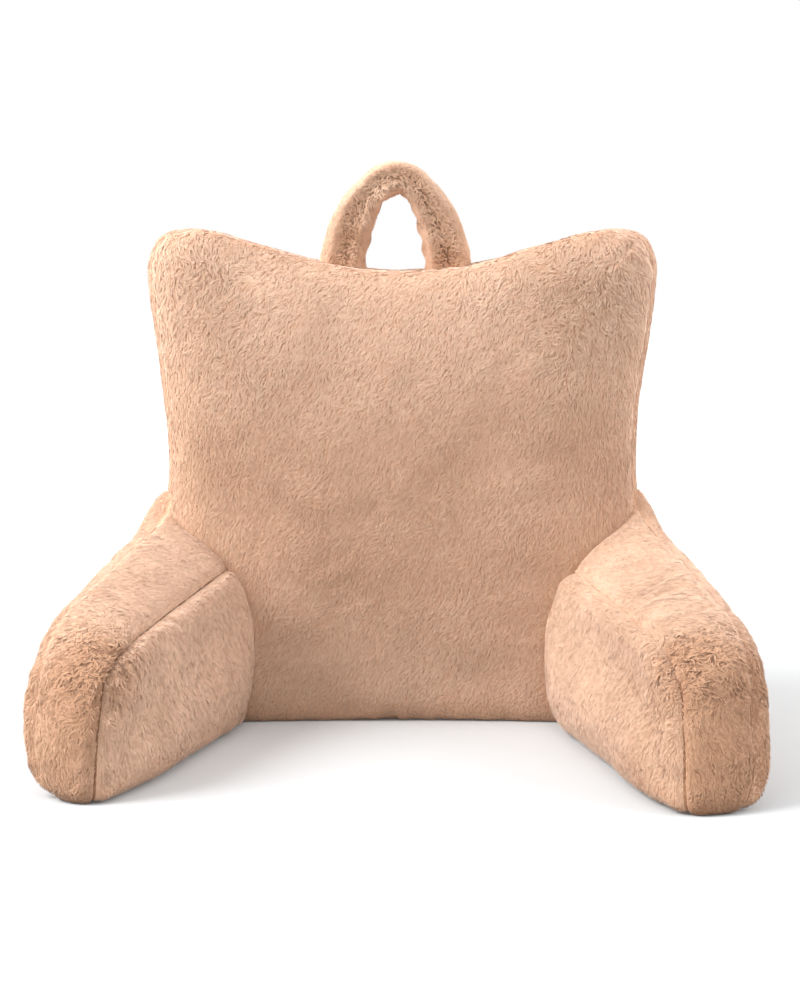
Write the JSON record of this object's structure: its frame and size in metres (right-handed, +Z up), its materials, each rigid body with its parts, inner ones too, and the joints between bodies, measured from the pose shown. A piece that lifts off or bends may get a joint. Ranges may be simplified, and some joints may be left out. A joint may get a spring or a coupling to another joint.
{
  "type": "reading pillow with arms",
  "caption": "Plush reading pillow: a thick filled backrest with soft raised corners, an arm down each side to rest on, and a carry loop on top.",
  "frame": {"origin": "on the surface that the pillow stands on, under the middle of its box", "axes": "+Z up, the seat side and the arms face -Y, +X to the right seen from the front"},
  "size_m": [0.652, 0.5642, 0.5705],
  "materials": {
    "plush": "short-pile faux fur, light tan",
    "plush_boxing": "short-pile faux fur, light tan",
    "plush_loop": "short-pile faux fur, light tan, tousled"
  },
  "bodies": {
    "root": {"backrest": "plush", "boxing_band": "plush_boxing", "arm_left": "plush", "arm_right": "plush", "arm_left_strip": "plush_boxing", "arm_right_strip": "plush_boxing", "carry_loop": "plush_loop"}
  },
  "joints": []
}
